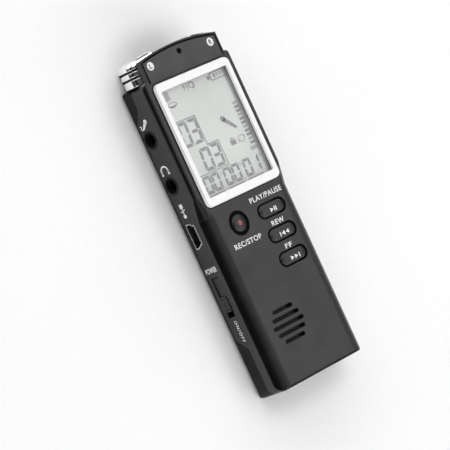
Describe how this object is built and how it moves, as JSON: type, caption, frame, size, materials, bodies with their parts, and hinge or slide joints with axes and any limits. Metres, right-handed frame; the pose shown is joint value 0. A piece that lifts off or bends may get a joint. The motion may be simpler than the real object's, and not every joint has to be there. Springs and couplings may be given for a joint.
{
  "type": "handheld voice recorder",
  "caption": "Slim handheld voice recorder with a framed display, push keys, a slotted loudspeaker, side sockets, a power slider and two bright microphone barrels.",
  "frame": {"origin": "under the middle of the case, on the back face that the recorder lies on", "axes": "+X to the right seen from the front with the head up, +Y along the length towards the microphone head, +Z out of the front face"},
  "size_m": [0.0353, 0.1, 0.0118],
  "materials": {
    "case_front": "satin, very fine grain",
    "case_rear": "satin",
    "head_plate": "satin",
    "bezel": "satin silver white paint",
    "window": "clear",
    "lcd": "pale grey",
    "white_plastic": "moulded",
    "board": "solder mask",
    "chip": "moulded",
    "tin": "tinned",
    "key": "satin",
    "black_plastic": "moulded",
    "cone": "pressed film",
    "magnet": "zinc plated",
    "foam": "foam",
    "cloth": "woven",
    "foil": "pouch foil",
    "foam_pad": "adhesive foam",
    "lead": "insulated",
    "chrome": "bright plated",
    "capsule": "bright",
    "rubber": "soft",
    "smoke": "smoked",
    "screw": "black zinc",
    "ceramic": "fired"
  },
  "bodies": {
    "case": {"front_housing": "case_front", "rear_housing": "case_rear", "head_plate": "head_plate", "display_bezel": "bezel", "display_window": "window", "lcd_glass": "lcd", "lcd_backlight": "white_plastic", "lcd_frame": "white_plastic", "main_board": "board", "processor_chip": "chip", "memory_chip": "chip", "crystal": "tin", "key_switches": "tin", "power_switch": "tin", "mic_jack": "black_plastic", "headphone_jack": "black_plastic", "usb_socket": "tin", "usb_tongue": "black_plastic", "speaker_frame": "black_plastic", "speaker_cone": "cone", "speaker_magnet": "magnet", "speaker_gasket": "foam", "speaker_cloth": "cloth", "battery_cell": "foil", "battery_board": "board", "battery_pad": "foam_pad", "battery_leads": "lead", "battery_connector": "white_plastic", "left_mic_barrel": "chrome", "right_mic_barrel": "chrome", "left_mic_capsule": "capsule", "right_mic_capsule": "capsule", "left_mic_boot": "rubber", "right_mic_boot": "rubber", "indicator_led": "white_plastic", "light_pipe": "smoke", "case_screws": "screw", "display_connector": "rubber", "board_parts": "ceramic", "speaker_leads": "lead", "mic_leads": "rubber"},
    "record_key": {"rec_button": "key", "rec_plunger": "white_plastic"},
    "play_key": {"play_button": "key", "play_plunger": "white_plastic"},
    "rewind_key": {"rewind_button": "key", "rewind_plunger": "white_plastic"},
    "forward_key": {"forward_button": "key", "forward_plunger": "white_plastic"},
    "power_slide": {"power_slider": "case_front", "power_lever": "white_plastic"}
  },
  "joints": [
    {"name": "record_key_press", "type": "slide", "parent": "case", "child": "record_key", "axis": [0, 0, -1], "range_m": [0, 0.0003], "stiffness_N_per_m": 3000},
    {"name": "play_key_press", "type": "slide", "parent": "case", "child": "play_key", "axis": [0, 0, -1], "range_m": [0, 0.0003], "stiffness_N_per_m": 3000},
    {"name": "rewind_key_press", "type": "slide", "parent": "case", "child": "rewind_key", "axis": [0, 0, -1], "range_m": [0, 0.0003], "stiffness_N_per_m": 3000},
    {"name": "forward_key_press", "type": "slide", "parent": "case", "child": "forward_key", "axis": [0, 0, -1], "range_m": [0, 0.0003], "stiffness_N_per_m": 3000},
    {"name": "power_slide_travel", "type": "slide", "parent": "case", "child": "power_slide", "axis": [0, -1, 0], "range_m": [0, 0.0015]}
  ]
}
